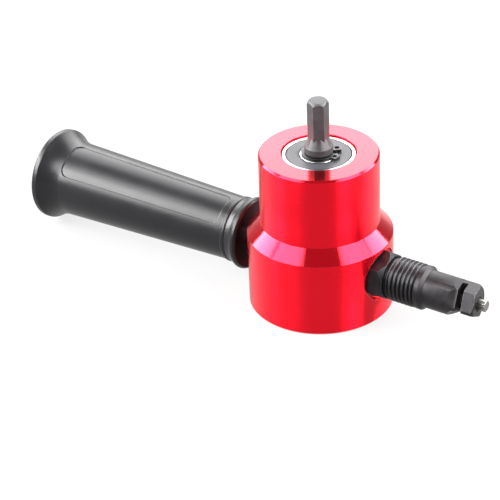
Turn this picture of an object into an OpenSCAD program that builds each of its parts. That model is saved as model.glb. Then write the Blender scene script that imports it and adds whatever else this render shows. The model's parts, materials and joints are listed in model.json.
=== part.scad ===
// Drill-driven nibbler: an upright housing whose hex shaft drives a punch in a swivelling die head.
// The origin is the middle of the base, +Z runs up the shaft and +X runs out along the die head.

/* [Housing] */
// Radius of the upper cylinder
body_r = 25.6; // [25:0.1:28]
// Radius of the wide foot
foot_r = 31.3; // [30.5:0.1:34]
// Height of the housing
body_h = 71.3; // [70:0.1:90]
// Height at which the foot's outside starts to slope in
foot_h = 33.7; // [33:0.1:36]
// Height of the die head's and the handle's common centre line
axis_z = 21; // [21:0.1:21.5]
// Radius of the hollow that holds the crank
cavity_r = 22; // [20:0.1:22.5]

/* [Drive shaft] */
// Across flats of the hexagon that the drill grips
hex_af = 8; // [6.35:0.05:9]
// Height of the hexagon's end
hex_top = 95.6; // [94:0.1:100]
// Turn of the hexagon on the shaft
hex_turn = 35.1; // [0:0.1:60]
// Stroke of the punch
stroke = 5; // [4:0.1:5]

/* [Die head] */
// Radius of the plain barrel
barrel_r = 8.1; // [8:0.05:8.4]
// Across flats of the hexagon at the barrel's end
die_af = 14; // [13.5:0.1:14]
// Far end of the die, on its centre line
die_end = 77; // [76:0.1:79]
// Width of the sheet slot
slot_w = 2.8; // [2:0.1:3.2]
// Turn of the slot and of the die's end face away from square
tip_turn = 9; // [0:0.5:10]
// Radius of the punch
punch_r = 2.45; // [2:0.05:2.5]
// Crest radius of the sleeve's thread
thread_r = 9.6; // [9.5:0.05:9.8]
// Pitch of the sleeve's thread
thread_pitch = 2; // [1.5:0.5:2]

/* [Handle] */
// Overall reach of the grip from the shaft
grip_far = 143.8; // [120:0.1:160]
// Reach of the grip's near end
grip_near = 34.4; // [34:0.1:36]
// Radius of the end flange
flange_r = 20.8; // [19:0.1:20.9]
// Number of shallow panels round the grip
panels = 2; // [2:1:4]
// Width of each panel, in degrees
panel_span = 63; // [30:1:80]

/* [Hidden] */
$fn = 96;

eps = 0.01;             // overlap that keeps joined solids whole
edge = 0.8;             // chamfer on the housing's rims
run = 0.05;             // radial clearance of every running fit
snug = 0.01;            // radial clearance of every fit that doesn't move
apart = 0.3;            // gap between faces that pass each other
shoulder_h = foot_h + foot_r - body_r;

// Ball bearings: [bore radius, outer radius, width, inner land, outer land, ball radius, base height]
top_brg = [6, 16, 10, 8.9, 13.9, 2.85, body_h - 10.7];
bottom_brg = [5, 13, 8, 7.1, 10.9, 2.1, 4];
ball_count = 7;
race_gap = 0.15;        // clearance between a ball and its races
seal_t = 0.9;
seal_recess = 0.15;

// Crank: two equal eccentricities, so that the crosshead's centre stays on the X axis
half_throw = stroke / 4;
journal_r = 6.5;
bush_r = 9.4;
crank_lo = 13;
crank_hi = 29;
ring_r = 13.4;
ring_h = 14;
nose_r = 6;
nose_end = 38;
button_r = 4.4;
button_lo = 33.5;
button_t = 3;
shaft_neck_r = 7.4;
shaft_collar_r = 8.2;
hex_start = 74.5;
hex_nose = 3.1;         // length of the turned nose on the hexagon
circlip_t = 1;

// Bottom cover
cover_t = 3.2;
cover_r = 28.5;
screw_ring_r = 25.2;
screw_count = 4;
boss_r = 16.5;

// Die head stations along X
sleeve_in = cavity_r + 0.3;
collar_lo = 29.2;
collar_hi = 36;
collar_r = 11.2;        // corner radius of the hexagonal collar
collar_turn = 82.7;     // angle of one of its corners, from +Y towards +Z
sleeve_end = 50.6;
thread_lo = 37;
sleeve_bore_r = 8;
sleeve_r = 10;          // outside of the plain part that sits in the housing
shank_r = 7;
shank_lo = 41.3;
shank_seat = 43;
flange_die_r = 9.5;
flange_lo = sleeve_end + 0.2;
flange_hi = flange_lo + 1.9;
slot_lo = 68.7;
flat_lo = slot_lo - 0.2;
flat_run = 2.9;         // length of the sloping run-out of each flat
flat_turns = [30, 90, 150, 270, 330];
chin_turn = 240;
chin_d = 5.3;
slot_depth_y = 1.5;     // how far the slot runs past the centre line

// Handle
stud_r = 5;
insert_r = 8;
panel_depth = 0.4;
panel_near = 46;
panel_far = 131;
panel_mid = 117;        // angle of the first panel's middle, from +Y towards +Z

// Turns children about a point of the die's centre line, as its slanting tip is turned
module tipped(at) {
    translate([at, 0, axis_z]) rotate([0, 0, tip_turn]) children();
}

// Places children, drawn about +Z, along the die head's centre line
module along_x() {
    translate([0, 0, axis_z]) rotate([0, 90, 0]) children();
}

// Turns an angle about X, from +Y towards +Z, into along_x's own frame
module turned_x(angle) {
    rotate([0, 0, angle + 90]) children();
}

// A tube between two heights
module tube(outer, inner, lo, hi) {
    translate([0, 0, lo]) difference() {
        cylinder(r = outer, h = hi - lo);
        translate([0, 0, -1]) cylinder(r = inner, h = hi - lo + 2);
    }
}

// The housing's outside, foot to top
module housing_outside() {
    rotate_extrude() polygon([
        [0, 0], [foot_r - edge, 0], [foot_r, edge], [foot_r, foot_h], [body_r, shoulder_h],
        [body_r, body_h - edge], [body_r - edge, body_h], [0, body_h]]);
}

// The hollow: cover seat, crank space, shaft bore and bearing seat
module housing_inside() {
    seat = top_brg[6];
    rotate_extrude() polygon([
        [0, -1], [cover_r + 0.1, -1], [cover_r + 0.1, cover_t], [cavity_r, cover_t],
        [cavity_r, 34], [12.5, 36], [12.5, seat], [top_brg[1], seat],
        [top_brg[1], body_h - 0.5], [top_brg[1] + 0.6, body_h + 0.1], [0, body_h + 0.1]]);
}

module housing() {
    color([0.8, 0.02, 0.1]) difference() {
        housing_outside();
        housing_inside();
        along_x() translate([0, 0, cavity_r - 4]) cylinder(r = sleeve_r + snug, h = 20);
        along_x() translate([0, 0, collar_lo]) cylinder(r = 12, h = 10);
        along_x() translate([0, 0, -foot_r - 1]) cylinder(r = stud_r + snug, h = 16);
        for (i = [0 : screw_count - 1])
            rotate([0, 0, 45 + i * 360 / screw_count]) translate([screw_ring_r, 0, 0])
                cylinder(r = 1.5, h = 13);
    }
}

module bottom_cover() {
    pocket = bottom_brg[6];
    color([0.35, 0.35, 0.37]) difference() {
        union() {
            cylinder(r = cover_r, h = cover_t);
            cylinder(r = cavity_r - 0.1, h = 6.6);
            cylinder(r = boss_r, h = pocket + bottom_brg[2]);
        }
        translate([0, 0, pocket]) cylinder(r = bottom_brg[1], h = 20);
        translate([0, 0, 2.4]) cylinder(r = 9, h = 20);
        tube(cavity_r + 1, cavity_r - 1.8, 3.9, 5.9);
        for (i = [0 : screw_count - 1])
            rotate([0, 0, 45 + i * 360 / screw_count]) translate([screw_ring_r, 0, 0]) {
                translate([0, 0, -1]) cylinder(r = 1.65, h = 12);
                translate([0, 0, -eps]) cylinder(r1 = 3, r2 = 1.65, h = 1.7);
            }
    }
}

module cover_screws() {
    color([0.2, 0.2, 0.22]) for (i = [0 : screw_count - 1])
        rotate([0, 0, 45 + i * 360 / screw_count]) translate([screw_ring_r, 0, 0]) difference() {
            union() {
                translate([0, 0, 0.1]) cylinder(r1 = 2.8, r2 = 1.5, h = 1.5);
                translate([0, 0, 0.1]) cylinder(r = 1.5, h = 11.5);
            }
            translate([0, 0, -1]) cylinder(r = 1.15, h = 2.2, $fn = 6);
        }
}

module cover_seal() {
    color([0.08, 0.08, 0.08]) translate([0, 0, 4.9])
        rotate_extrude() translate([cavity_r - 0.92, 0]) circle(r = 0.86, $fn = 24);
}

module drive_shaft() {
    seat = top_brg[6];
    low_r = bottom_brg[0] - snug;
    high_r = top_brg[0] - snug;
    corner_r = hex_af / sqrt(3);
    color([0.25, 0.25, 0.27]) difference() {
        union() {
            rotate_extrude() polygon([
                [0, 3.4], [low_r - 0.5, 3.4], [low_r, 3.9], [low_r, crank_lo], [0, crank_lo]]);
            translate([half_throw, 0, crank_lo - eps])
                cylinder(r = journal_r, h = crank_hi - crank_lo + 2 * eps);
            rotate_extrude() polygon([
                [0, crank_hi], [shaft_collar_r, crank_hi], [shaft_collar_r, crank_hi + 2],
                [shaft_neck_r, crank_hi + 2.8], [shaft_neck_r, seat], [high_r, seat],
                [high_r, hex_start], [hex_af / 2, hex_start + 4.5], [0, hex_start + 4.5]]);
            intersection() {
                rotate([0, 0, hex_turn]) translate([0, 0, hex_start - 1])
                    cylinder(r = corner_r, h = hex_top - hex_start + 1, $fn = 6);
                rotate_extrude() polygon([
                    [0, hex_start - 2], [corner_r + 0.1, hex_start - 2],
                    [corner_r + 0.1, hex_top - hex_nose], [corner_r - 0.85, hex_top + eps],
                    [0, hex_top + eps]]);
            }
        }
        tube(high_r + 1, high_r - 0.4, body_h - 0.7, body_h - 0.6 + circlip_t);
    }
}

// Spring ring with two eyelets either side of its gap
module shaft_circlip() {
    gap_at = 25;        // angle of the gap's middle
    lug_half = 28;      // degrees from there to each eyelet
    lug_out = 8;        // radius at which the eyelets stand
    gap_w = 3.3;
    color([0.3, 0.3, 0.32]) translate([0, 0, body_h - 0.65]) difference() {
        union() {
            cylinder(r = 7.4, h = circlip_t);
            for (side = [-1, 1]) rotate([0, 0, gap_at + side * lug_half])
                translate([lug_out, 0, 0]) cylinder(r = 1.75, h = circlip_t);
        }
        translate([0, 0, -1]) cylinder(r = top_brg[0] - 0.36, h = circlip_t + 2);
        rotate([0, 0, gap_at]) translate([4, -gap_w / 2, -1]) cube([8, gap_w, circlip_t + 2]);
        for (side = [-1, 1]) rotate([0, 0, gap_at + side * lug_half])
            translate([lug_out, 0, -1]) cylinder(r = 0.75, h = circlip_t + 2);
    }
}

module thrust_washer() {
    color([0.6, 0.6, 0.62]) tube(8.6, bottom_brg[0] + 0.02, crank_lo - 0.98, crank_lo - 0.02);
}

// Middle radius and height of a bearing's row of balls
function pitch_r(b) = (b[3] + b[4]) / 2;
function ball_z(b) = b[6] + b[2] / 2;

// The groove that the balls run in, as a ring
module race_groove(b) {
    translate([0, 0, ball_z(b)]) rotate_extrude()
        translate([pitch_r(b), 0]) circle(r = b[5] + race_gap, $fn = 48);
}

module bearing_outer(b) {
    color([0.75, 0.75, 0.77]) difference() {
        rotate_extrude() polygon([
            [b[4], b[6]], [b[1] - 0.5, b[6]], [b[1], b[6] + 0.5],
            [b[1], b[6] + b[2] - 0.5], [b[1] - 0.5, b[6] + b[2]], [b[4], b[6] + b[2]]]);
        race_groove(b);
    }
}

module bearing_inner(b) {
    color([0.75, 0.75, 0.77]) difference() {
        tube(b[3], b[0], b[6], b[6] + b[2]);
        race_groove(b);
    }
}

module bearing_balls(b) {
    color([0.8, 0.8, 0.82]) for (i = [0 : ball_count - 1])
        rotate([0, 0, i * 360 / ball_count]) translate([pitch_r(b), 0, ball_z(b)])
            sphere(r = b[5], $fn = 32);
}

module bearing_cage(b) {
    color([0.7, 0.55, 0.25]) difference() {
        tube(pitch_r(b) + 0.6, pitch_r(b) - 0.6, ball_z(b) - b[5] / 2, ball_z(b) + b[5] + 0.6);
        for (i = [0 : ball_count - 1])
            rotate([0, 0, i * 360 / ball_count]) translate([pitch_r(b), 0, ball_z(b)])
                sphere(r = b[5] + 0.1, $fn = 32);
    }
}

module bearing_seals(b) {
    color([0.4, 0.4, 0.4]) for (lo = [b[6] + seal_recess, b[6] + b[2] - seal_recess - seal_t])
        tube(b[4] - 0.05, b[3] + 0.25, lo, lo + seal_t);
}

module top_bearing_outer() { bearing_outer(top_brg); }
module top_bearing_inner() { bearing_inner(top_brg); }
module top_bearing_balls() { bearing_balls(top_brg); }
module top_bearing_cage() { bearing_cage(top_brg); }
module top_bearing_seals() { bearing_seals(top_brg); }
module bottom_bearing_outer() { bearing_outer(bottom_brg); }
module bottom_bearing_inner() { bearing_inner(bottom_brg); }
module bottom_bearing_balls() { bearing_balls(bottom_brg); }
module bottom_bearing_cage() { bearing_cage(bottom_brg); }
module bottom_bearing_seals() { bearing_seals(bottom_brg); }

// Bronze bush whose outside is set off from its bore by half the throw
module eccentric_bush() {
    color([0.75, 0.5, 0.2]) difference() {
        translate([2 * half_throw, 0, crank_lo + apart])
            cylinder(r = bush_r, h = crank_hi - crank_lo - 2 * apart);
        translate([half_throw, 0, 0]) cylinder(r = journal_r + run, h = 2 * crank_hi);
    }
}

// Ring round the bush, with the nose that slides in the guide bush and carries the punch
module crosshead() {
    color([0.45, 0.45, 0.47]) difference() {
        union() {
            translate([2 * half_throw, 0, axis_z - ring_h / 2]) cylinder(r = ring_r, h = ring_h);
            along_x() translate([0, 0, 2 * half_throw]) cylinder(r = nose_r, h = nose_end - 2 * half_throw);
        }
        translate([2 * half_throw, 0, 0]) cylinder(r = bush_r + run, h = 2 * crank_hi);
        along_x() translate([0, 0, button_lo - 0.2]) cylinder(r = button_r + 0.1, h = button_t + 0.4);
        along_x() translate([0, 0, button_lo]) cylinder(r = punch_r + 0.25, h = 10);
        translate([button_lo - 0.2, -button_r - 0.1, axis_z]) cube([button_t + 0.4, 2 * button_r + 0.2, 10]);
        translate([button_lo, -punch_r - 0.25, axis_z]) cube([10, 2 * punch_r + 0.5, 10]);
    }
}

module guide_bush() {
    color([0.75, 0.5, 0.2]) along_x() tube(sleeve_bore_r, nose_r + run, sleeve_in + 0.3, 39.4);
}

// Round punch: button head, notch that the sheet enters, grooved tip
module punch() {
    tip = die_end + 3.7;
    color([0.85, 0.85, 0.85]) difference() {
        along_x() union() {
            translate([0, 0, button_lo]) cylinder(r = button_r, h = button_t);
            rotate_extrude() polygon([
                [0, button_lo + 1], [punch_r, button_lo + 1], [punch_r, tip - 0.3],
                [punch_r - 0.3, tip], [0, tip]]);
        }
        translate([slot_lo - 0.6, -10 - 0.5, axis_z - 10]) cube([slot_w + 1.6, 10, 20]);
        along_x() turned_x(150) translate([punch_r + 0.1, 0, slot_lo + slot_w + 1.2])
            cylinder(r = 0.55, h = 20, $fn = 24);
    }
}

// Saw-tooth outline of the thread's crests and roots along the sleeve
function thread_points() = [
    for (x = thread_lo, up = 0; x <= sleeve_end - 0.2; x = x + thread_pitch / 2, up = 1 - up)
        [thread_r - (up == 1 ? 0 : 1), x]];

// Threaded sleeve with the hexagonal collar that seats on the housing
module head_sleeve() {
    color([0.3, 0.3, 0.32]) along_x() difference() {
        union() {
            rotate_extrude() polygon(concat(
                [[0, sleeve_in], [sleeve_r - 0.5, sleeve_in], [sleeve_r, sleeve_in + 0.5],
                 [sleeve_r, collar_lo + 1],
                 [thread_r - 1, collar_hi - 1]],
                thread_points(),
                [[thread_r - 1, sleeve_end], [0, sleeve_end]]));
            intersection() {
                turned_x(collar_turn) translate([0, 0, collar_lo])
                    cylinder(r = collar_r, h = collar_hi - collar_lo, $fn = 6);
                rotate_extrude() polygon([
                    [0, collar_lo], [collar_r - 1, collar_lo], [collar_r, collar_lo + 0.6],
                    [collar_r, collar_hi - 0.6], [collar_r - 1, collar_hi], [0, collar_hi]]);
            }
        }
        translate([0, 0, sleeve_in - 1]) cylinder(r = sleeve_bore_r, h = shank_seat - sleeve_in + 1);
        cylinder(r = shank_r + run, h = sleeve_end + 1);
    }
}

// One flat with its sloping run-out, as the solid to take away
module flat_cut(angle, d, run_length) {
    slope = atan((barrel_r - d) / run_length);
    turned_x(angle) {
        translate([d, -15, flat_lo]) cube([10, 30, 20]);
        translate([d, 0, flat_lo]) rotate([0, -slope, 0]) translate([0, -15, -12]) cube([10, 30, 12 + eps]);
    }
}

// All that lies inside the die's slanting, chamfered end face
module tip_cap() {
    reach = 40;
    rotate([0, 90, 0]) rotate_extrude() polygon([
        [0, -reach], [barrel_r - 1 + reach, -reach], [barrel_r - 1, 0], [0, 0]]);
}

module die_head() {
    color([0.42, 0.42, 0.45]) difference() {
        intersection() {
            along_x() difference() {
                rotate_extrude() polygon([
                    [0, shank_lo], [shank_r - 0.4, shank_lo], [shank_r, shank_lo + 0.4],
                    [shank_r, flange_lo], [flange_die_r, flange_lo], [flange_die_r, flange_hi],
                    [barrel_r, flange_hi + 1.5], [barrel_r, die_end + 3], [0, die_end + 3]]);
                for (angle = flat_turns) flat_cut(angle, die_af / 2, flat_run);
                flat_cut(chin_turn, chin_d, flat_run + 1);
                translate([0, 0, shank_lo - 1]) cylinder(r = punch_r + 0.8, h = 19);
                cylinder(r = punch_r + run, h = die_end + 4);
                translate([0, 0, die_end - 0.9]) cylinder(r = punch_r + 0.75, h = 5);
                tube(shank_r + 1, shank_r - 0.5, shank_seat - 1.25, shank_seat - 0.15);
            }
            tipped(die_end) tip_cap();
        }
        tipped(slot_lo) translate([0, slot_depth_y - 20, -20]) cube([slot_w, 20, 40]);
    }
}

// Plain spring ring that keeps the die's shank in the sleeve
module die_circlip() {
    color([0.3, 0.3, 0.32]) along_x() difference() {
        tube(sleeve_bore_r - apart, shank_r - 0.48, shank_seat - 1.2, shank_seat - 0.2);
        translate([0, -1.5, shank_seat - 2]) cube([12, 3, 3]);
    }
}

// Radius of the grip's plain taper at a reach along -X
function grip_r(reach) = 14.06 + (reach - 35) * 0.0297;

// Outline of the grip: near lip, waist, taper, flare and rounded flange
function grip_outline() = concat(
    [[0, grip_near], [15.4, grip_near], [16.2, grip_near + 0.9], [16.2, grip_near + 2],
     [15.2, grip_near + 4.2], [grip_r(42), 42], [grip_r(130), 130]],
    [for (t = [1 : 8]) [grip_r(130) + (flange_r - grip_r(130)) * pow(t / 8, 2), 130 + t * 1.35]],
    [for (a = [0 : 15 : 90]) [flange_r - 1.5 + 1.5 * cos(a), grip_far - 1.5 + 1.5 * sin(a)]],
    [[0, grip_far]]);

// One shallow panel: a thin shell of the taper over the panel's width
module grip_panel() {
    rotate_extrude(angle = panel_span) polygon([
        [grip_r(panel_near) - panel_depth, panel_near], [grip_r(panel_near) + 2, panel_near],
        [grip_r(panel_far) + 2, panel_far], [grip_r(panel_far) - panel_depth, panel_far]]);
}

module grip() {
    color([0.16, 0.16, 0.17]) translate([0, 0, axis_z]) rotate([0, -90, 0]) difference() {
        rotate_extrude() polygon(grip_outline());
        for (i = [0 : panels - 1])
            rotate([0, 0, 90 - panel_mid - panel_span / 2 + i * 360 / panels]) grip_panel();
        translate([0, 0, grip_near - 1]) cylinder(r = insert_r, h = 44);
    }
}

module grip_insert() {
    color([0.7, 0.6, 0.3]) translate([0, 0, axis_z]) rotate([0, -90, 0])
        tube(insert_r, stud_r + snug, grip_near + 0.4, grip_near + 42);
}

module handle_stud() {
    color([0.45, 0.45, 0.47]) translate([0, 0, axis_z]) rotate([0, -90, 0])
        rotate_extrude() polygon([
            [0, cavity_r + 0.4], [stud_r - 0.8, cavity_r + 0.4], [stud_r, cavity_r + 1.2],
            [stud_r, grip_near + 37.2], [stud_r - 0.8, grip_near + 38], [0, grip_near + 38]]);
}

housing();
bottom_cover();
cover_screws();
cover_seal();
drive_shaft();
shaft_circlip();
thrust_washer();
top_bearing_outer();
top_bearing_inner();
top_bearing_balls();
top_bearing_cage();
top_bearing_seals();
bottom_bearing_outer();
bottom_bearing_inner();
bottom_bearing_balls();
bottom_bearing_cage();
bottom_bearing_seals();
eccentric_bush();
crosshead();
guide_bush();
punch();
head_sleeve();
die_head();
die_circlip();
grip();
grip_insert();
handle_stud();
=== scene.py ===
import json
import math

import bmesh
import bpy
from mathutils import Matrix, Vector


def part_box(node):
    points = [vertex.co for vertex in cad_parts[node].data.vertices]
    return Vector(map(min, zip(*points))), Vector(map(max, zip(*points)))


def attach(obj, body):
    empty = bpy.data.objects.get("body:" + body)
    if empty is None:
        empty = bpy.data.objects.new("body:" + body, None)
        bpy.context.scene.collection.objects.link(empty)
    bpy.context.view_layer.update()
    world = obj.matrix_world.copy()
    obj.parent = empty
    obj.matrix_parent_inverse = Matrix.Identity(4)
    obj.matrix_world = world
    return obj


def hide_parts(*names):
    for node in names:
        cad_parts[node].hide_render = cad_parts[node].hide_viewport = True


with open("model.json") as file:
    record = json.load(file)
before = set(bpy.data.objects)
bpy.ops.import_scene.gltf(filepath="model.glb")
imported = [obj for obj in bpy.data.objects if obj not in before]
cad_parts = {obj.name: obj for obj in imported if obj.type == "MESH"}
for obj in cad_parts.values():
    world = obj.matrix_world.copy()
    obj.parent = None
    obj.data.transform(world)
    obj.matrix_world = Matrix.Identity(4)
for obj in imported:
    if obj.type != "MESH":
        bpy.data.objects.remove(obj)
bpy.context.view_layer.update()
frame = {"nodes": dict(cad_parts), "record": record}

# Lengths are in metres. Most places come from the frame, and the rest are these.
MM = 0.001
TURN = 2 * math.pi
ROUND_STEPS = 192
SMALL_STEPS = 72

foot_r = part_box("housing")[1].x
body_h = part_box("housing")[1].z
axis_z = sum(corner.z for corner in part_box("handle_stud")) / 2
bearing_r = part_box("top_bearing_outer")[1].x
bearing_low, bearing_high = (corner.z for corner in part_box("top_bearing_outer"))
sleeve_in, sleeve_end = (corner.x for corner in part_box("head_sleeve"))
die_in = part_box("die_head")[0].x
punch_in, punch_end = (corner.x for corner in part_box("punch"))
shaft_low, shaft_top = (corner.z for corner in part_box("drive_shaft"))
grip_far, grip_near = (-corner.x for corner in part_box("grip"))
flange_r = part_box("grip")[1].y

# Housing
body_r = foot_r - 5.7 * MM
shoulder_low = 33.7 * MM
shoulder_high = shoulder_low + foot_r - body_r
rim = 0.8 * MM
collar_x = 29.2 * MM
collar_end = 36 * MM
collar_r = 11.2 * MM
collar_turn = math.radians(82.7)

# Die head
barrel_r = 8.1 * MM
die_face = 77 * MM
tip_turn = math.radians(9)
slot_x = 68.7 * MM
slot_w = 2.8 * MM
thread_r = 9.6 * MM
thread_root = 8.6 * MM
thread_pitch = 2 * MM
die_flange_r = 9.5 * MM

# Handle
panel_mid = math.radians(117)
panel_half = math.radians(31.5)
panel_near = 46 * MM
panel_far = 131 * MM
panel_depth = 0.4 * MM

# Turn of the photo's camera round the shaft. At 0 it looks along +Y.
view_azimuth = math.radians(35.1)

UPRIGHT = Matrix.Identity(4)
# Turns what is drawn about +Z so that it runs along +X, with angles counted from +Y towards +Z
ALONG_X = Matrix(((0, 0, 1, 0), (1, 0, 0, 0), (0, 1, 0, axis_z), (0, 0, 0, 1)))


# ---------------------------------------------------------------- mesh helpers

def even_angles(steps):
    return [TURN * i / steps for i in range(steps)]


def steps_between(low, high, step):
    count = max(1, round((high - low) / step))
    return [low + (high - low) * i / count for i in range(count)]


def rounded(outline, steps=4):
    """An outline of (radius, height, rounding) as points, with an arc at each corner that has a rounding."""
    points = []
    for i, (radius, height, rounding) in enumerate(outline):
        here = Vector((radius, height))
        if rounding == 0:
            points.append(here)
            continue
        back = (Vector(outline[i - 1][:2]) - here).normalized()
        ahead = (Vector(outline[(i + 1) % len(outline)][:2]) - here).normalized()
        half = back.angle(ahead) / 2
        centre = here + (back + ahead).normalized() * rounding / math.sin(half)
        start = here + back * rounding / math.tan(half) - centre
        sweep = math.copysign(math.pi - 2 * half, back.cross(ahead))
        for step in range(steps + 1):
            points.append(centre + Matrix.Rotation(-sweep * step / steps, 2) @ start)
    return points


def bridge(bm, lower, upper):
    """Faces between two loops of vertices, either of which may be a single point."""
    count = max(len(lower), len(upper))
    for i in range(count):
        after = (i + 1) % count
        corners = [lower[i % len(lower)], lower[after % len(lower)],
                   upper[after % len(upper)], upper[i % len(upper)]]
        bm.faces.new(list(dict.fromkeys(corners)))


def add_rings(bm, rings, angles, closed):
    """A surface through rings about +Z. A ring is a height and a radius, or a function of the angle."""
    loops = []
    for radius, height in rings:
        if radius == 0:
            loops.append([bm.verts.new((0, 0, height))])
            continue
        reach = radius if callable(radius) else (lambda angle, r=radius: r)
        loops.append([bm.verts.new((reach(t) * math.cos(t), reach(t) * math.sin(t), height)) for t in angles])
    for lower, upper in zip(loops, loops[1:] + loops[:1] if closed else loops[1:]):
        bridge(bm, lower, upper)


def new_piece(name, bm, place=UPRIGHT):
    bmesh.ops.remove_doubles(bm, verts=bm.verts, dist=0.002 * MM)
    bmesh.ops.recalc_face_normals(bm, faces=bm.faces)
    bm.transform(place)
    mesh = bpy.data.meshes.new(name)
    bm.to_mesh(mesh)
    bm.free()
    obj = bpy.data.objects.new(name, mesh)
    bpy.context.scene.collection.objects.link(obj)
    return obj


def lathe(name, outline, place=UPRIGHT, steps=ROUND_STEPS, closed=True):
    bm = bmesh.new()
    add_rings(bm, [tuple(p) for p in rounded(outline)], even_angles(steps), closed)
    return new_piece(name, bm, place)


def rod(radius, low, high, place=UPRIGHT, steps=SMALL_STEPS):
    """A plain round cutter."""
    bm = bmesh.new()
    add_rings(bm, [(0, low), (radius, low), (radius, high), (0, high)], even_angles(steps), False)
    return new_piece("cutter", bm, place)


def prism(outline, low, high, place=UPRIGHT):
    """A cutter or blank with a polygon outline, drawn out along +Z."""
    bm = bmesh.new()
    floor = bm.faces.new([bm.verts.new((x, y, low)) for x, y in outline])
    grown = bmesh.ops.extrude_face_region(bm, geom=[floor])["geom"]
    risen = [v for v in grown if isinstance(v, bmesh.types.BMVert)]
    bmesh.ops.translate(bm, vec=(0, 0, high - low), verts=risen)
    return new_piece("cutter", bm, place)


def hexagon(corner_r, first_corner=0.0):
    angles = [first_corner + TURN * i / 6 for i in range(6)]
    return [(corner_r * math.cos(angle), corner_r * math.sin(angle)) for angle in angles]


def settle(obj):
    """Applies the object's modifiers."""
    graph = bpy.context.evaluated_depsgraph_get()
    mesh = bpy.data.meshes.new_from_object(obj.evaluated_get(graph), preserve_all_data_layers=True,
                                           depsgraph=graph)
    obj.modifiers.clear()
    obj.data = mesh


def combine(obj, other, operation):
    modifier = obj.modifiers.new("combine", "BOOLEAN")
    modifier.operation = operation
    modifier.solver = "EXACT"
    modifier.object = other
    settle(obj)
    bpy.data.objects.remove(other)


def smooth(obj, bevel=0.0, crease=32):
    """Small bevels on the sharp edges, and normals that follow the large faces."""
    if bevel:
        modifier = obj.modifiers.new("bevel", "BEVEL")
        modifier.width = bevel
        modifier.segments = 2
        modifier.limit_method = "ANGLE"
        modifier.angle_limit = math.radians(crease)
        modifier.use_clamp_overlap = True
        settle(obj)
    obj.data.shade_smooth()
    obj.data.set_sharp_from_angle(angle=math.radians(crease))
    modifier = obj.modifiers.new("normals", "WEIGHTED_NORMAL")
    modifier.keep_sharp = True
    settle(obj)


def hand_over(obj, body, slot, material, *nodes):
    """The finished piece rides on its body, stands for its CAD nodes and wears its material."""
    obj.data.materials.clear()
    obj.data.materials.append(material)
    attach(obj, body)
    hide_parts(*nodes)


# ---------------------------------------------------------------- material helpers

def add(tree, kind, inputs=None, **settings):
    """A shader node with its settings, and with each input linked or set."""
    made = tree.nodes.new("ShaderNode" + kind)
    for name, value in settings.items():
        setattr(made, name, value)
    for name, value in (inputs or {}).items():
        if isinstance(value, bpy.types.NodeSocket):
            tree.links.new(value, made.inputs[name])
        else:
            made.inputs[name].default_value = value
    return made


def new_material(name):
    material = bpy.data.materials.new(name)
    material.use_nodes = True
    tree = material.node_tree
    shader = tree.nodes["Principled BSDF"]
    return material, tree, shader


def object_point(tree):
    return add(tree, "TexCoord").outputs["Object"]


def turned_point(tree, axis):
    """Coordinates rolled out about the shaft (Z) or the head (X): radius, a little of the angle, length."""
    apart = add(tree, "SeparateXYZ", {"Vector": object_point(tree)}).outputs
    across, up, along = (apart["X"], apart["Y"], apart["Z"])
    if axis == "X":
        lifted = add(tree, "Math", {0: apart["Z"], 1: axis_z}, operation="SUBTRACT").outputs[0]
        across, up, along = apart["Y"], lifted, apart["X"]
    flat = add(tree, "CombineXYZ", {"X": across, "Y": up}).outputs[0]
    radius = add(tree, "VectorMath", {0: flat}, operation="LENGTH").outputs["Value"]
    angle = add(tree, "Math", {0: up, 1: across}, operation="ARCTAN2").outputs[0]
    drift = add(tree, "Math", {0: angle, 1: 0.4 * MM}, operation="MULTIPLY").outputs[0]
    return add(tree, "CombineXYZ", {"X": radius, "Y": drift, "Z": along}).outputs[0]


def noise(tree, vector, size, detail=3.0, roughness=0.55):
    """Noise whose blotches are about that size, from 0 to 1."""
    return add(tree, "TexNoise", {"Vector": vector, "Scale": 1 / size, "Detail": detail,
                                  "Roughness": roughness}).outputs["Fac"]


def spread(tree, value, low, high, out_low, out_high):
    return add(tree, "MapRange", {"Value": value, "From Min": low, "From Max": high,
                                  "To Min": out_low, "To Max": out_high}).outputs["Result"]


def edge_wear_and_highlight_mask(tree, width):
    """1 along edges that turn over within that width, 0 elsewhere: the mask for brighter edges that are
    partly wear and partly a painted highlight.
    """
    soft = add(tree, "Bevel", {"Radius": width}, samples=6).outputs["Normal"]
    true = add(tree, "NewGeometry").outputs["Normal"]
    agree = add(tree, "VectorMath", {0: soft, 1: true}, operation="DOT_PRODUCT").outputs["Value"]
    return spread(tree, agree, 0.995, 0.9, 0.0, 1.0)


def mix_colour(tree, factor, first, second):
    mixer = add(tree, "Mix", {"Factor": factor}, data_type="RGBA")
    for socket, value in zip([s for s in mixer.inputs if s.type == "RGBA"], (first, second)):
        if isinstance(value, bpy.types.NodeSocket):
            tree.links.new(value, socket)
        else:
            socket.default_value = (*value, 1.0)
    return [s for s in mixer.outputs if s.type == "RGBA"][0]


def bump(tree, height, depth):
    return add(tree, "Bump", {"Height": height, "Distance": depth, "Strength": 1.0}).outputs["Normal"]


# ---------------------------------------------------------------- materials

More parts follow.
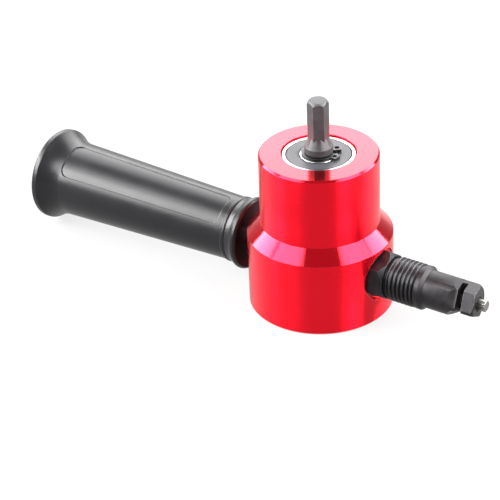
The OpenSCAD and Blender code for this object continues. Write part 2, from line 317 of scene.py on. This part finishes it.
def turned_metal(name, colour, dark, edge, roughness, axis="Z", line=0.22 * MM, depth=0.0012 * MM,
                 anisotropy=0.5, blotch=9 * MM, edge_wear_and_highlight_width=0.25 * MM, streak=0.35, uneven=0.05):
    """Turned metal: fine lines round its axis, blotches in colour and roughness, and brighter edges that are
    partly wear and partly a painted highlight.
    """
    material, tree, shader = new_material(name)
    lines = noise(tree, turned_point(tree, axis), line, detail=4.0, roughness=0.7)
    patches = noise(tree, object_point(tree), blotch)
    base = mix_colour(tree, spread(tree, patches, 0.35, 0.65, 0.0, 1.0), dark, colour)
    streaked = mix_colour(tree, spread(tree, lines, 0.3, 0.7, 0.0, streak), base, dark)
    # Edges take the brighter edge colour: partly wear, partly a painted highlight.
    tree.links.new(mix_colour(tree, edge_wear_and_highlight_mask(tree, edge_wear_and_highlight_width), streaked, edge), shader.inputs["Base Color"])
    mottled = add(tree, "Math", {0: spread(tree, patches, 0.3, 0.7, -0.04, 0.04),
                                 1: spread(tree, lines, 0.2, 0.8, roughness - uneven, roughness + uneven)},
                  operation="ADD").outputs[0]
    tree.links.new(mottled, shader.inputs["Roughness"])
    tree.links.new(bump(tree, lines, depth), shader.inputs["Normal"])
    shader.inputs["Metallic"].default_value = 1.0
    shader.inputs["Anisotropic"].default_value = anisotropy
    shader.inputs["Anisotropic Rotation"].default_value = 0.25
    tangent = add(tree, "Tangent", direction_type="RADIAL", axis=axis)
    tree.links.new(tangent.outputs[0], shader.inputs["Tangent"])
    return material


def anodised(name):
    """Red anodised aluminium under a thin clear layer, with the faced ends smoother than the turned sides."""
    # The pale pink edge colour goes on the edges as partly wear and partly a painted highlight.
    material = turned_metal(name, (0.7, 0.005, 0.017), (0.64, 0.004, 0.014), (1.0, 0.12, 0.18),
                            roughness=0.29, depth=0.00005 * MM, anisotropy=1.0, blotch=22 * MM,
                            edge_wear_and_highlight_width=0.25 * MM, streak=0.14, uneven=0.018)
    tree = material.node_tree
    shader = tree.nodes["Principled BSDF"]
    rough = shader.inputs["Roughness"]
    facing = add(tree, "SeparateXYZ", {"Vector": add(tree, "TexCoord").outputs["Normal"]}).outputs["Z"]
    upward = add(tree, "Math", {0: facing}, operation="ABSOLUTE").outputs[0]
    share = spread(tree, upward, 0.1, 0.6, 1.0, 0.5)
    finer = add(tree, "Math", {0: rough.links[0].from_socket, 1: share}, operation="MULTIPLY").outputs[0]
    tree.links.new(finer, rough)
    shader.inputs["Coat Weight"].default_value = 0.09
    shader.inputs["Coat Roughness"].default_value = 0.12
    return material


def blackened(name, axis, colour=(0.03, 0.029, 0.031), edge=(0.1, 0.1, 0.105), roughness=0.45):
    """Black-oxide steel, darker in patches."""
    dark = tuple(0.62 * c for c in colour)
    return turned_metal(name, colour, dark, edge, roughness, axis=axis, line=0.3 * MM, depth=0.002 * MM,
                        anisotropy=0.2, blotch=4 * MM, edge_wear_and_highlight_width=0.18 * MM)


def moulded_plastic(name):
    """Satin black plastic with a fine moulded grain, faint flow marks and paler edges that are partly wear
    and partly a painted highlight.
    """
    material, tree, shader = new_material(name)
    point = object_point(tree)
    grain = noise(tree, point, 0.28 * MM, detail=2.0)
    flow = noise(tree, point, 14 * MM, detail=4.0)
    base = mix_colour(tree, spread(tree, flow, 0.3, 0.7, 0.0, 1.0), (0.0032, 0.003, 0.0038),
                      (0.0046, 0.0044, 0.0054))
    # Edges are painted paler: partly wear, partly a painted highlight.
    tree.links.new(mix_colour(tree, edge_wear_and_highlight_mask(tree, 0.3 * MM), base, (0.008, 0.008, 0.01)),
                   shader.inputs["Base Color"])
    tree.links.new(spread(tree, flow, 0.3, 0.7, 0.3, 0.36), shader.inputs["Roughness"])
    tree.links.new(bump(tree, grain, 0.006 * MM), shader.inputs["Normal"])
    shader.inputs["Specular IOR Level"].default_value = 0.22
    return material


def rubber(name, colour, roughness, gloss=0.3):
    """Dark rubber with a fine grain and a little paler dust in patches."""
    material, tree, shader = new_material(name)
    point = object_point(tree)
    grain = noise(tree, point, 0.2 * MM)
    dust = noise(tree, point, 3 * MM, detail=4.0)
    pale = tuple(1.35 * c for c in colour)
    tree.links.new(mix_colour(tree, spread(tree, dust, 0.35, 0.7, 0.0, 1.0), colour, pale),
                   shader.inputs["Base Color"])
    dusty = spread(tree, dust, 0.3, 0.7, roughness - 0.06, roughness + 0.06)
    tree.links.new(dusty, shader.inputs["Roughness"])
    tree.links.new(bump(tree, grain, 0.008 * MM), shader.inputs["Normal"])
    shader.inputs["Specular IOR Level"].default_value = gloss
    return material


def paper_floor(name):
    """Pale studio sweep with a little light of its own, so that shadows on it stay faint."""
    material, tree, shader = new_material(name)
    fibre = noise(tree, object_point(tree), 2 * MM, detail=3.0)
    base = mix_colour(tree, fibre, (0.05, 0.05, 0.05), (0.06, 0.06, 0.06))
    tree.links.new(base, shader.inputs["Base Color"])
    shader.inputs["Roughness"].default_value = 0.9
    shader.inputs["Specular IOR Level"].default_value = 0.1
    shader.inputs["Emission Color"].default_value = (1, 1, 1, 1)
    shader.inputs["Emission Strength"].default_value = 0.78
    return material


MATERIALS = {
    "anodised_red": anodised("anodised_red_finish"),
    "cover_alloy": turned_metal("cover_alloy_finish", (0.46, 0.46, 0.48), (0.36, 0.36, 0.38),
                                (0.75, 0.75, 0.77), roughness=0.34, line=0.35 * MM, depth=0.004 * MM),
    "screw_steel": blackened("screw_finish", "Z"),
    "seal_rubber": rubber("seal_ring_finish", (0.02, 0.02, 0.02), 0.6),
    "shaft_steel": turned_metal("shaft_finish", (0.075, 0.075, 0.078), (0.058, 0.058, 0.06),
                                (0.18, 0.18, 0.185), roughness=0.6, line=0.3 * MM, depth=0.002 * MM,
                                anisotropy=0.0, blotch=3 * MM, edge_wear_and_highlight_width=0.2 * MM),
    "spring_steel": blackened("spring_finish", "Z", (0.034, 0.034, 0.036), (0.14, 0.14, 0.14), 0.42),
    "bearing_steel": turned_metal("bearing_finish", (0.36, 0.36, 0.37), (0.3, 0.3, 0.31), (0.6, 0.6, 0.61),
                                  roughness=0.28, line=0.15 * MM, anisotropy=0.4),
    "cage_brass": turned_metal("cage_finish", (0.72, 0.5, 0.2), (0.58, 0.38, 0.14), (0.9, 0.72, 0.4), 0.3),
    "bearing_seal": rubber("bearing_seal_finish", (0.022, 0.022, 0.025), 0.4, gloss=0.16),
    "bronze": turned_metal("bronze_finish", (0.7, 0.45, 0.2), (0.55, 0.33, 0.13), (0.9, 0.68, 0.4), 0.32),
    "crosshead_steel": turned_metal("crosshead_finish", (0.42, 0.42, 0.43), (0.3, 0.3, 0.31), (0.7, 0.7, 0.7),
                                    0.34, axis="X"),
    "punch_steel": turned_metal("punch_finish", (0.2, 0.195, 0.185), (0.16, 0.155, 0.145), (0.36, 0.35, 0.34),
                                0.36, axis="X", line=0.12 * MM, edge_wear_and_highlight_width=0.12 * MM),
    "black_steel": blackened("sleeve_finish", "X"),
    "die_steel": blackened("die_finish", "X", (0.034, 0.032, 0.034), (0.12, 0.117, 0.12), 0.5),
    "grip_plastic": moulded_plastic("grip_finish"),
}


def dress_nodes():
    """Every CAD node that stays in view wears the finish of its material slot."""
    for part in frame["record"]["subparts"]:
        for slot in frame["nodes"][part["node"]].material_slots:
            slot.material = MATERIALS[part["material_slot"]]


# ---------------------------------------------------------------- the pieces

def build_housing():
    cover_r, cover_t = 28.6 * MM, 3.2 * MM
    cavity_r, cavity_top, bore_r = 22 * MM, 34 * MM, 12.5 * MM
    spot_r, sleeve_hole, stud_hole, hole_start = 11.5 * MM, 10.01 * MM, 5.01 * MM, 15 * MM
    soft, wall_step, past = 0.25 * MM, 1.5 * MM, 5 * MM
    foot_wall = [(foot_r, height, 0) for height in steps_between(2 * rim, shoulder_low - rim, wall_step)]
    shell = lathe("housing_shell", [
        (cover_r, 0, soft), (foot_r - rim, 0, soft), (foot_r, rim, soft), *foot_wall,
        (foot_r, shoulder_low, soft),
        (body_r, shoulder_high, soft), (body_r, body_h - rim, soft), (body_r - rim, body_h, soft),
        (bearing_r, body_h, 0.15 * MM), (bearing_r, bearing_low, 0),
        (bore_r, bearing_low, 0), (bore_r, cavity_top + 2 * MM, 0), (cavity_r, cavity_top, 0),
        (cavity_r, cover_t, 0),
        (cover_r, cover_t, 0)])
    combine(shell, rod(spot_r, collar_x, foot_r + past, ALONG_X, ROUND_STEPS), "DIFFERENCE")
    combine(shell, rod(sleeve_hole, hole_start, foot_r, ALONG_X, ROUND_STEPS), "DIFFERENCE")
    combine(shell, rod(stud_hole, -foot_r - past, -hole_start, ALONG_X), "DIFFERENCE")
    smooth(shell)
    hand_over(shell, "frame", "anodised_red", MATERIALS["anodised_red"], "housing")


def build_bearing():
    outer_land, inner_land = 14.05 * MM, 8.1 * MM
    shaft_r = 6 * MM
    race, gap, gap_depth = 0.25 * MM, 0.5 * MM, 3 * MM
    outer = lathe("bearing_outer_ring", [
        (outer_land, bearing_low, race), (bearing_r, bearing_low, 2 * race),
        (bearing_r, bearing_high - gap_depth, 0),
        (bearing_r - gap, bearing_high - gap_depth, 0), (bearing_r - gap, bearing_high, race),
        (outer_land, bearing_high, race)])
    smooth(outer)
    hand_over(outer, "frame", "bearing_steel", MATERIALS["bearing_steel"], "top_bearing_outer")
    inner = lathe("bearing_inner_ring", [
        (shaft_r, bearing_low, race), (inner_land, bearing_low, race), (inner_land, bearing_high, race),
        (shaft_r, bearing_high, race)])
    smooth(inner)
    hand_over(inner, "shaft", "bearing_steel", MATERIALS["bearing_steel"], "top_bearing_inner")
    build_seals(inner_land + 0.36 * MM, outer_land - 0.36 * MM)


def build_seals(inner_r, outer_r):
    """Both shields: a flat face with rounded rims and a shallow step down to the lip at the inner ring."""
    bm = bmesh.new()
    thick, rim_soft = 0.9 * MM, 0.15 * MM
    for top, down in ((bearing_high - 0.12 * MM, 1), (bearing_low + 0.12 * MM, -1)):
        step = top - down * 0.12 * MM
        outline = [
            (inner_r, top - down * thick, 0), (outer_r, top - down * thick, 0), (outer_r, top, rim_soft),
            (inner_r + 0.75 * MM, top, 0.08 * MM), (inner_r + 0.6 * MM, step, 0.08 * MM),
            (inner_r, step, rim_soft / 3)]
        add_rings(bm, [tuple(p) for p in rounded(outline)], even_angles(ROUND_STEPS), True)
    seals = new_piece("bearing_seals", bm)
    smooth(seals)
    hand_over(seals, "frame", "bearing_seal", MATERIALS["bearing_seal"], "top_bearing_seals")


def build_circlip():
    low, high = (corner.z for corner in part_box("shaft_circlip"))
    gap_at, gap_half = math.radians(25), math.radians(13)
    lug_mid, lug_half = math.radians(28), math.radians(14.5)
    bore_r, ring_r, lug_r = 5.65 * MM, 7.4 * MM, 9.7 * MM
    eye_at, eye_r = 8.1 * MM, 1.05 * MM
    count = 240
    bm = bmesh.new()
    sections = []
    for i in range(count + 1):
        away = gap_half + (TURN - 2 * gap_half) * i / count
        from_gap = min(away, TURN - away)
        slope = max(0.0, min(1.0, (lug_mid + lug_half - from_gap) / math.radians(5)))
        corner = max(0.0, 1 - (from_gap - gap_half) / math.radians(4))
        bulge = (lug_r - ring_r) * slope * slope * (3 - 2 * slope)
        reach = ring_r + bulge - 0.6 * MM * corner * corner
        turn = gap_at + away
        sections.append([bm.verts.new((r * math.cos(turn), r * math.sin(turn), z))
                         for r, z in ((bore_r, low), (reach, low), (reach, high), (bore_r, high))])
    for lower, upper in zip(sections, sections[1:]):
        bridge(bm, lower, upper)
    bm.faces.new(sections[0])
    bm.faces.new(sections[-1])
    clip = new_piece("shaft_spring_ring", bm)
    for side in (-1, 1):
        turn = gap_at + side * lug_mid
        eye = Matrix.Translation((eye_at * math.cos(turn), eye_at * math.sin(turn), 0))
        combine(clip, rod(eye_r, low - MM, high + MM, eye, 32), "DIFFERENCE")
    smooth(clip, bevel=0.1 * MM)
    hand_over(clip, "shaft", "spring_steel", MATERIALS["spring_steel"], "shaft_circlip")


def build_shaft():
    journal_r, low_r, neck_r, collar = 6.5 * MM, 5 * MM, 7.4 * MM, 8.2 * MM
    crank_low, crank_high, throw = 13 * MM, 29 * MM, 1.25 * MM
    top_r, hex_low, hex_af, hex_turn = 6 * MM, 74.5 * MM, 8 * MM, math.radians(35.1)
    groove_r, groove_low, groove_high = 5.6 * MM, body_h - 0.7 * MM, body_h + 0.4 * MM
    flare_top = hex_low + 4.5 * MM
    corner_r = hex_af / math.sqrt(3)
    soft = 0.2 * MM
    shaft = lathe("drive_shaft_bar", [
        (0, crank_high, 0), (collar, crank_high, soft), (collar, crank_high + 2 * MM, soft),
        (neck_r, crank_high + 2.8 * MM, 0), (neck_r, bearing_low, soft), (top_r, bearing_low, 0),
        (top_r, groove_low, 0), (groove_r, groove_low, 0), (groove_r, groove_high, 0),
        (top_r, groove_high, soft), (top_r, hex_low, 0.25 * MM), (hex_af / 2, flare_top, 0),
        (0, flare_top, 0)], closed=False)
    blank = prism(hexagon(corner_r, hex_turn), hex_low - MM, shaft_top + MM)
    nose = lathe("cutter", [
        (0, hex_low - 2 * MM, 0), (corner_r + 0.1 * MM, hex_low - 2 * MM, 0),
        (corner_r + 0.1 * MM, shaft_top - 1.6 * MM, 0.4 * MM), (corner_r - 0.95 * MM, shaft_top, 0.25 * MM),
        (0, shaft_top, 0)], closed=False)
    combine(blank, nose, "INTERSECT")
    combine(shaft, blank, "UNION")
    crank = Matrix.Translation((throw, 0, 0))
    combine(shaft, rod(journal_r, crank_low, crank_high + 0.01 * MM, crank), "UNION")
    combine(shaft, rod(low_r, shaft_low, crank_low + 0.01 * MM), "UNION")
    smooth(shaft, bevel=0.1 * MM, crease=26)
    hand_over(shaft, "shaft", "shaft_steel", MATERIALS["shaft_steel"], "drive_shaft")


def thread_tooth(phase):
    """How far the thread's flank stands out, 0 at the root and 1 at the crest."""
    rise = (abs(2 * phase - 1) - 0.22) / 0.56
    rise = max(0.0, min(1.0, rise))
    return rise * rise * (3 - 2 * rise) * 0.35 + rise * 0.65


def add_thread(bm, low, high, angles):
    """A helical thread whose grid lines follow the helix, so that its crests stay crisp."""
    per_pitch = 12
    turns = round((high - low) / thread_pitch) + 2
    grid = []
    for i in range(turns * per_pitch + 1):
        row = []
        for j in range(len(angles) + 1):
            x = low + thread_pitch * (i / per_pitch - 1 + j / len(angles))
            x = max(low, min(high, x))
            taper = max(0.0, min(1.0, (high - x) / (0.9 * MM), (x - low) / (1.6 * MM)))
            radius = thread_root + (thread_r - thread_root) * thread_tooth(i / per_pitch % 1) * taper
            turn = TURN * j / len(angles)
            row.append(bm.verts.new((radius * math.cos(turn), radius * math.sin(turn), x)))
        grid.append(row)
    for i in range(len(grid) - 1):
        for j in range(len(angles)):
            bm.faces.new((grid[i][j], grid[i][j + 1], grid[i + 1][j + 1], grid[i + 1][j]))


def build_sleeve():
    plain_r, bore_r, shank_r = 10 * MM, 8 * MM, 7.05 * MM
    shank_seat = 43 * MM
    thread_low, thread_high = collar_end + 0.6 * MM, sleeve_end - 0.15 * MM
    soft = 0.2 * MM
    angles = even_angles(96)
    bm = bmesh.new()
    body = [(thread_root, thread_high, 0), (thread_root, sleeve_end, soft), (shank_r, sleeve_end, soft),
            (shank_r, shank_seat, 0), (bore_r, shank_seat, 0), (bore_r, sleeve_in, soft),
            (plain_r, sleeve_in, 0.4 * MM), (plain_r, collar_x + MM, 0), (thread_root, collar_end - MM, 0),
            (thread_root, thread_low, 0)]
    add_rings(bm, [tuple(p) for p in rounded(body)], angles, False)
    add_thread(bm, thread_low, thread_high, angles)
    sleeve = new_piece("head_sleeve_threaded", bm, ALONG_X)
    blank = prism(hexagon(collar_r, collar_turn), collar_x, collar_end, ALONG_X)
    chamfer = lathe("cutter", [
        (0, collar_x - MM, 0), (collar_r - 0.9 * MM, collar_x - MM, 0), (collar_r - 0.9 * MM, collar_x, 0),
        (collar_r + 0.05 * MM, collar_x + 0.6 * MM, 0), (collar_r + 0.05 * MM, collar_end - 2.6 * MM, 0),
        (collar_r - 1.6 * MM, collar_end, 0), (collar_r - 1.6 * MM, collar_end + MM, 0),
        (0, collar_end + MM, 0)], ALONG_X, closed=False)
    combine(blank, chamfer, "INTERSECT")
    combine(blank, rod(plain_r - MM, collar_x - 2 * MM, collar_end + 2 * MM, ALONG_X, 96), "DIFFERENCE")
    combine(sleeve, blank, "UNION")
    smooth(sleeve, crease=30)
    hand_over(sleeve, "frame", "black_steel", MATERIALS["black_steel"], "head_sleeve")


def flat_cutter(angle, distance, start, run):
    """Cuts one flat that starts with a slope, on the side of the head at that angle."""
    out = Vector((0, math.cos(angle), math.sin(angle)))
    side = Vector((0, -math.sin(angle), math.cos(angle)))
    place = Matrix(((1, out.x, side.x, 0), (0, out.y, side.y, 0), (0, out.z, side.z, axis_z), (0, 0, 0, 1)))
    rise = barrel_r - distance
    past = die_face + 5 * MM
    outline = [(start, distance), (past, distance), (past, barrel_r + 10 * MM),
               (start - 4 * run, barrel_r + 10 * MM), (start - 4 * run, distance + 4 * rise)]
    return prism(outline, -15 * MM, 15 * MM, place)


def tipped(at):
    """The place on the head's centre line, turned as the slot and the end face are."""
    return Matrix.Translation((at, 0, axis_z)) @ Matrix.Rotation(tip_turn, 4, "Z")


def build_die():
    shank_r, flat_d, chin_d = 7 * MM, 7 * MM, 5.3 * MM
    shank_seat, flange_low, flange_high = 43 * MM, sleeve_end + 0.2 * MM, sleeve_end + 2.1 * MM
    punch_hole, clearance_hole, hole_step = 2.5 * MM, 3.25 * MM, 59.3 * MM
    sink_r, sink_depth = 3.2 * MM, 0.9 * MM
    flat_start, flat_run = slot_x - 0.2 * MM, 2.9 * MM
    soft, past, reach = 0.2 * MM, 3 * MM, 40 * MM
    die = lathe("die_head_barrel", [
        (0, die_in, 0), (shank_r, die_in, 0.3 * MM), (shank_r, shank_seat - 1.25 * MM, 0),
        (shank_r - 0.5 * MM, shank_seat - 1.25 * MM, 0), (shank_r - 0.5 * MM, shank_seat - 0.15 * MM, 0),
        (shank_r, shank_seat - 0.15 * MM, 0), (shank_r, flange_low, 0), (die_flange_r, flange_low, soft),
        (die_flange_r, flange_high, soft), (barrel_r, flange_high + 1.5 * MM, 0.5 * MM),
        (barrel_r, die_face + past, 0), (0, die_face + past, 0)], ALONG_X, closed=False)
    for degrees in (30, 90, 150, 270, 330):
        combine(die, flat_cutter(math.radians(degrees), flat_d, flat_start, flat_run), "DIFFERENCE")
    combine(die, flat_cutter(math.radians(240), chin_d, flat_start, flat_run + MM), "DIFFERENCE")
    cap = lathe("cutter", [
        (0, -reach, 0), (barrel_r - MM + reach, -reach, 0), (barrel_r - MM, 0, soft), (0, 0, 0)],
        tipped(die_face) @ Matrix.Rotation(math.pi / 2, 4, "Y"), closed=False)
    combine(die, cap, "INTERSECT")
    combine(die, rod(clearance_hole, die_in - MM, hole_step, ALONG_X, 48), "DIFFERENCE")
    combine(die, rod(punch_hole, hole_step - 0.3 * MM, die_face + past, ALONG_X, 48), "DIFFERENCE")
    combine(die, rod(sink_r, die_face - sink_depth, die_face + past, ALONG_X, 48), "DIFFERENCE")
    slot = [(0, -20 * MM), (slot_w, -20 * MM), (slot_w, 1.5 * MM), (0, 1.5 * MM)]
    combine(die, prism(slot, -20 * MM, 20 * MM, tipped(slot_x)), "DIFFERENCE")
    smooth(die, bevel=0.16 * MM, crease=26)
    hand_over(die, "die", "die_steel", MATERIALS["die_steel"], "die_head")


def build_punch():
    shank_r, button_r, button_t = 2.45 * MM, 4.4 * MM, 3 * MM
    groove_r, groove_turn = 0.55 * MM, math.radians(150)
    soft = 0.15 * MM
    punch = lathe("punch_bar", [
        (0, punch_in, 0), (button_r, punch_in, soft), (button_r, punch_in + button_t, soft),
        (shank_r, punch_in + button_t, 0), (shank_r, punch_end, 0.3 * MM), (0, punch_end, 0)],
        ALONG_X, 96, closed=False)
    notch_low, notch_high = slot_x - 0.6 * MM, slot_x + slot_w + MM
    notch = [(notch_low, -10 * MM), (notch_high, -10 * MM), (notch_high, -0.5 * MM), (notch_low, -0.5 * MM)]
    combine(punch, prism(notch, axis_z - 10 * MM, axis_z + 10 * MM), "DIFFERENCE")
    aside = Matrix.Translation((shank_r + 0.1 * MM, 0, 0))
    groove_at = ALONG_X @ Matrix.Rotation(groove_turn, 4, "Z") @ aside
    combine(punch, rod(groove_r, slot_x + slot_w + MM, punch_end + MM, groove_at, 24), "DIFFERENCE")
    smooth(punch, bevel=0.08 * MM, crease=28)
    hand_over(punch, "punch", "punch_steel", MATERIALS["punch_steel"], "punch")


def panel_shape(angle, reach):
    """How deep the grip's shallow panels are at a point: 1 inside them, 0 outside, with rounded corners."""
    corner, edge = 3.5 * MM, 0.2 * MM
    taper_r = 15.5 * MM
    offset = min(abs((angle - panel_mid - half_turn + math.pi) % TURN - math.pi)
                 for half_turn in (0, math.pi))
    across = (offset - panel_half) * taper_r + corner
    along = abs(reach - (panel_near + panel_far) / 2) - (panel_far - panel_near) / 2 + corner
    outside = math.hypot(max(across, 0), max(along, 0)) + min(max(across, along), 0) - corner
    inside = max(0.0, min(1.0, 0.5 - outside / edge))
    return inside * inside * (3 - 2 * inside)


def grip_radius(reach):
    """The grip's outline past its waist: a long taper and the flare to the end flange."""
    flare_start = 130 * MM
    taper_r = 14.06 * MM + (min(reach, flare_start) - 35 * MM) * 0.0297
    if reach <= flare_start:
        return taper_r
    share = (reach - flare_start) / (grip_far - 3 * MM - flare_start)
    return taper_r + (flange_r - taper_r) * share * share


def build_grip():
    insert_r, insert_depth = 8 * MM, 43 * MM
    fine, coarse = 0.2 * MM, 3 * MM
    near_soft = 0.25 * MM
    stud_r, lip_t = 5.2 * MM, 0.5 * MM
    lip = [(insert_r, grip_near + lip_t, 0), (stud_r, grip_near + lip_t, 0),
           (stud_r, grip_near - 0.05 * MM, near_soft), (15.4 * MM, grip_near - 0.05 * MM, 0.4 * MM),
           (16.2 * MM, grip_near + 0.9 * MM, 0.4 * MM), (16.2 * MM, grip_near + 2 * MM, 0.6 * MM),
           (15.0 * MM, grip_near + 4.2 * MM, 0.8 * MM), (14.4 * MM, 41 * MM, 0.3 * MM),
           (14.75 * MM, 41.6 * MM, 0.2 * MM), (14.75 * MM, 42.6 * MM, 0.2 * MM),
           (14.3 * MM, 43.2 * MM, 0.2 * MM)]
    flange = [(flange_r, grip_far - 3 * MM, 0.8 * MM), (flange_r, grip_far, 1.4 * MM),
              (flange_r - 3.2 * MM, grip_far, 0.6 * MM), (flange_r - 4 * MM, grip_far - 0.9 * MM, 0.6 * MM),
              (5 * MM, grip_far - 0.9 * MM, 0.2 * MM), (4.6 * MM, grip_far - 0.5 * MM, 0.2 * MM),
              (0, grip_far - 0.5 * MM, 0)]
    deep, waist = (insert_r, grip_near + insert_depth, 0), (14.3 * MM, 44 * MM, 0)
    near = [tuple(p) for p in rounded([deep] + lip + [waist])]
    far = [tuple(p) for p in rounded([(grip_radius(grip_far - 4 * MM), grip_far - 4 * MM, 0)] + flange)]
    ends = 4 * MM
    stations = (steps_between(44.4 * MM, panel_near + ends, fine)
                + steps_between(panel_near + ends, panel_far - ends, coarse)
                + steps_between(panel_far - ends, panel_far + 0.6 * MM, fine)
                + steps_between(panel_far + 0.6 * MM, grip_far - 4 * MM, 0.9 * MM))
    middle = [(lambda angle, at=reach: grip_radius(at) - panel_depth * panel_shape(angle, at), reach)
              for reach in stations]
    edge_width, outside, fine_turn, coarse_turn = math.radians(15), 0.02, 0.012, 0.05
    angles = []
    for half_turn in (0, math.pi):
        start = panel_mid + half_turn - panel_half
        end = start + 2 * panel_half
        angles += (steps_between(start - outside, start + edge_width, fine_turn)
                   + steps_between(start + edge_width, end - edge_width, coarse_turn)
                   + steps_between(end - edge_width, end + outside, fine_turn)
                   + steps_between(end + outside, start + math.pi - outside, coarse_turn))
    bm = bmesh.new()
    rings = [(0, grip_near + insert_depth)] + near + middle + far
    add_rings(bm, [(radius, -reach) for radius, reach in rings], angles, False)
    grip = new_piece("grip_moulded", bm, ALONG_X)
    smooth(grip, crease=50)
    hand_over(grip, "frame", "grip_plastic", MATERIALS["grip_plastic"], "grip")


# ---------------------------------------------------------------- camera, light and floor

def view_axes(azimuth, elevation, roll):
    """Right, up and back directions of a camera at that angle round the object."""
    right = Vector((math.cos(azimuth), math.sin(azimuth), 0))
    back = Vector((math.sin(azimuth) * math.cos(elevation), -math.cos(azimuth) * math.cos(elevation),
                   math.sin(elevation)))
    spin = Matrix.Rotation(roll, 3, back)
    return spin @ right, spin @ back.cross(right), back


def place_camera():
    """The photo's camera, solved from the object's straight and round edges."""
    elevation, roll, distance = math.radians(31.26), math.radians(-2.3), 0.896
    aim_height, aim_left, aim_below = 30 * MM, 30.16 * MM, 5.78 * MM
    right, up, back = view_axes(view_azimuth, elevation, roll)
    aim = Vector((0, 0, aim_height)) - aim_left * right - aim_below * up
    data = bpy.data.cameras.new("photo_view")
    data.sensor_width = 36.0
    data.lens = 150.6
    data.clip_start = 0.05
    camera = bpy.data.objects.new("photo_view", data)
    camera.matrix_world = Matrix((right, up, back)).transposed().to_4x4()
    camera.matrix_world.translation = aim + distance * back
    bpy.context.scene.collection.objects.link(camera)
    bpy.context.scene.camera = camera


def softbox(name, azimuth, elevation, distance, width, height, radiance):
    """An area light that faces the body, at angles counted from the camera's side of it."""
    data = bpy.data.lights.new(name, "AREA")
    data.shape = "RECTANGLE"
    data.size = width
    data.size_y = height
    data.energy = radiance * math.pi * width * height
    right, up, back = view_axes(view_azimuth + math.radians(azimuth), math.radians(elevation), 0)
    light = bpy.data.objects.new(name, data)
    light.matrix_world = Matrix((right, up, back)).transposed().to_4x4()
    light.matrix_world.translation = Vector((0, 0, 40 * MM)) + distance * back
    bpy.context.scene.collection.objects.link(light)


def light_studio():
    """Large soft boxes round the sides and behind, which the metal reflects, and a plain white surround."""
    softbox("left_box", -97, 24, 0.8, 0.8, 0.34, 34)
    softbox("right_front_box", 47, 24, 0.8, 0.42, 0.3, 22)
    softbox("right_box", 101, 24, 0.8, 0.5, 0.34, 30)
    softbox("top_left_box", -66, 46, 0.8, 0.5, 0.34, 18)
    softbox("top_right_box", 66, 46, 0.8, 0.5, 0.34, 18)
    softbox("back_box", 180, 34, 0.8, 0.95, 0.62, 8.5)
    world = bpy.data.worlds.new("studio")
    world.use_nodes = True
    tree = world.node_tree
    path = tree.nodes.new("ShaderNodeLightPath")
    backdrop = tree.nodes["Background"]
    level = tree.nodes.new("ShaderNodeMapRange")
    level.inputs["To Min"].default_value = 0.65
    level.inputs["To Max"].default_value = 1.0
    tree.links.new(path.outputs["Is Camera Ray"], level.inputs["Value"])
    tree.links.new(level.outputs["Result"], backdrop.inputs["Strength"])
    backdrop.inputs["Color"].default_value = (1, 1, 1, 1)
    bpy.context.scene.world = world
    bpy.context.scene.view_settings.view_transform = "Standard"


def lay_floor():
    bm = bmesh.new()
    add_rings(bm, [(0, 0), (0.3, 0), (1.5, 0)], even_angles(64), False)
    floor = new_piece("studio_floor", bm, Matrix.Translation((0, 0, -0.02 * MM)))
    floor.data.materials.append(paper_floor("paper_sweep"))


dress_nodes()
build_housing()
build_bearing()
build_circlip()
build_shaft()
build_sleeve()
build_die()
build_punch()
build_grip()
lay_floor()
light_studio()
place_camera()
